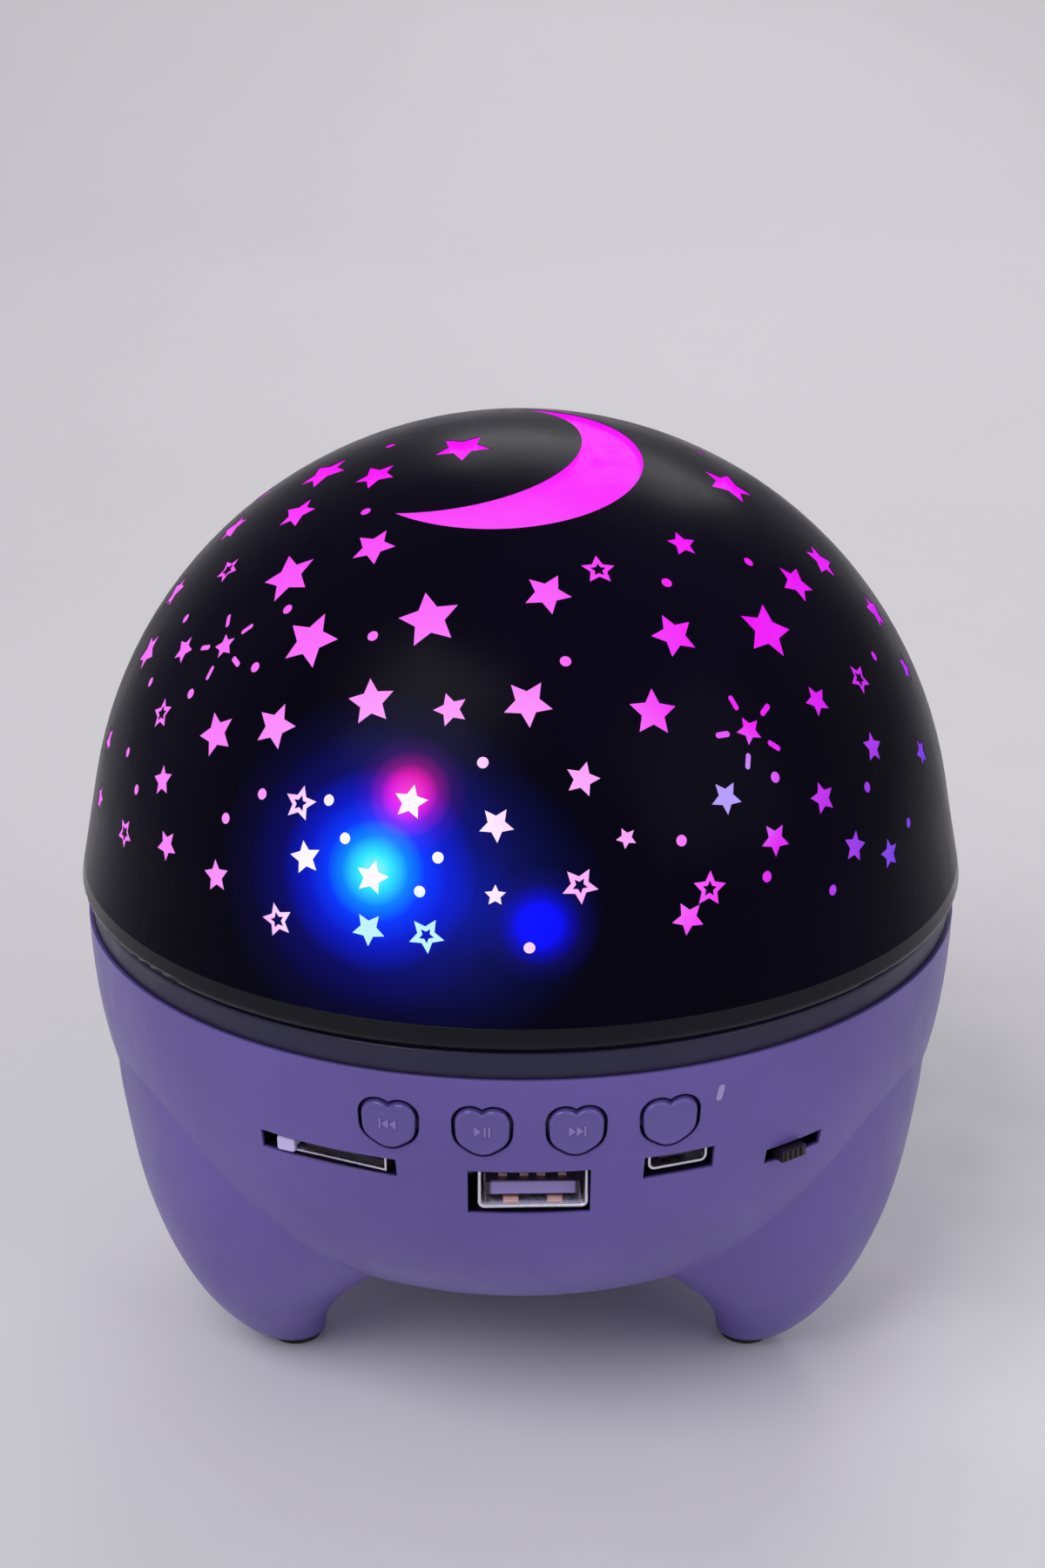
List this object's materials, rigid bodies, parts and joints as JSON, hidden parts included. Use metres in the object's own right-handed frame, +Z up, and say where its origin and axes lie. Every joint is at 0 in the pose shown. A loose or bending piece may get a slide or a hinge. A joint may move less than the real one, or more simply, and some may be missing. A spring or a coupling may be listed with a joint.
{
  "type": "night light speaker",
  "caption": "Dome night light with star windows that turns on a three-legged speaker bowl with heart keys, a card slot, a USB socket, a charging socket and a slide switch.",
  "frame": {"origin": "on the dome's axis at floor level, under the three feet", "axes": "+Z up along the dome's axis, -Y towards the front with the keys and sockets, +X to the right of someone who faces the front"},
  "size_m": [0.1162, 0.1162, 0.1229],
  "materials": {
    "purple_plastic": "satin moulded plastic",
    "deck_plastic": "fine matt",
    "rim_plastic": "polished",
    "dome_coat": "glossy black coat",
    "dome_plastic": "milky, lit from inside",
    "key_plastic": "polished",
    "black_plastic": "fine matt",
    "white_plastic": "fine matt",
    "gear_plastic": "natural",
    "tongue_plastic": "fine matt",
    "light_pipe": "clear",
    "led_resin": "clear resin over the chip",
    "rubber": "soft matt",
    "socket_steel": "bright plated",
    "screw_steel": "zinc plated",
    "motor_steel": "plated can",
    "contact_metal": "gold plated",
    "board_laminate": "solder mask",
    "cone_paper": "pressed paper",
    "magnet_ferrite": "sintered",
    "cell_wrap": "shrink sleeve"
  },
  "bodies": {
    "base": {"lower_housing": "purple_plastic", "rubber_feet": "rubber", "upper_deck": "deck_plastic", "deck_screws": "screw_steel", "motor_gearbox": "black_plastic", "drive_motor": "motor_steel", "motor_screws": "screw_steel", "lamp_base": "white_plastic", "lamp_board": "board_laminate", "lamp_leds": "led_resin", "lamp_lens": "light_pipe", "lamp_screws": "screw_steel", "key_board": "board_laminate", "key_board_screws": "screw_steel", "key_switches": "black_plastic", "status_light": "light_pipe", "status_led": "led_resin", "card_socket": "socket_steel", "card_carrier": "black_plastic", "card_latch": "socket_steel", "usb_shell": "socket_steel", "usb_tongue": "tongue_plastic", "usb_contacts": "contact_metal", "charge_socket": "socket_steel", "charge_tongue": "black_plastic", "switch_body": "black_plastic", "main_board": "board_laminate", "board_screws": "screw_steel", "board_chips": "black_plastic", "radio_module": "socket_steel", "capacitors": "motor_steel", "battery_cell": "cell_wrap", "battery_contacts": "contact_metal", "battery_tray": "black_plastic", "tray_screws": "screw_steel", "speaker_grille": "black_plastic", "speaker_frame": "motor_steel", "speaker_screws": "screw_steel", "speaker_surround": "rubber", "speaker_cone": "cone_paper", "voice_coil": "contact_metal", "dust_cap": "cone_paper", "speaker_magnet": "magnet_ferrite", "speaker_yoke": "motor_steel"},
    "turntable": {"turntable": "gear_plastic"},
    "pinion": {"drive_pinion": "gear_plastic", "motor_shaft": "screw_steel"},
    "dome": {"dome_mask": "dome_coat", "dome_lens": "dome_plastic", "dome_rim": "rim_plastic"},
    "key_1": {"heart_key_1": "key_plastic"},
    "key_2": {"heart_key_2": "key_plastic"},
    "key_3": {"heart_key_3": "key_plastic"},
    "key_4": {"heart_key_4": "key_plastic"},
    "power_knob": {"switch_knob": "black_plastic"}
  },
  "joints": [
    {"name": "dome_turn", "type": "hinge", "parent": "base", "child": "turntable", "pos_m": [0, 0, 0.0637], "axis": [0, 0, 1], "continuous": true},
    {"name": "pinion_spin", "type": "hinge", "parent": "base", "child": "pinion", "pos_m": [-0.02846, 0.00502, 0.0607], "axis": [0, 0, 1], "continuous": true},
    {"name": "dome_lift", "type": "slide", "parent": "turntable", "child": "dome", "axis": [0, 0, 1], "range_m": [0, 0.07]},
    {"name": "key_1_press", "type": "slide", "parent": "base", "child": "key_1", "axis": [0, 1, 0], "range_m": [0, 0.0007], "stiffness_N_per_m": 400},
    {"name": "key_2_press", "type": "slide", "parent": "base", "child": "key_2", "axis": [0, 1, 0], "range_m": [0, 0.0007], "stiffness_N_per_m": 400},
    {"name": "key_3_press", "type": "slide", "parent": "base", "child": "key_3", "axis": [0, 1, 0], "range_m": [0, 0.0007], "stiffness_N_per_m": 400},
    {"name": "key_4_press", "type": "slide", "parent": "base", "child": "key_4", "axis": [0, 1, 0], "range_m": [0, 0.0007], "stiffness_N_per_m": 400},
    {"name": "power_slide", "type": "slide", "parent": "base", "child": "power_knob", "axis": [0.8111, 0.585, 0], "range_m": [0, 0.002]}
  ],
  "couplings": [
    {"joint": "pinion_spin", "follows": "dome_turn", "ratio": -5}
  ]
}
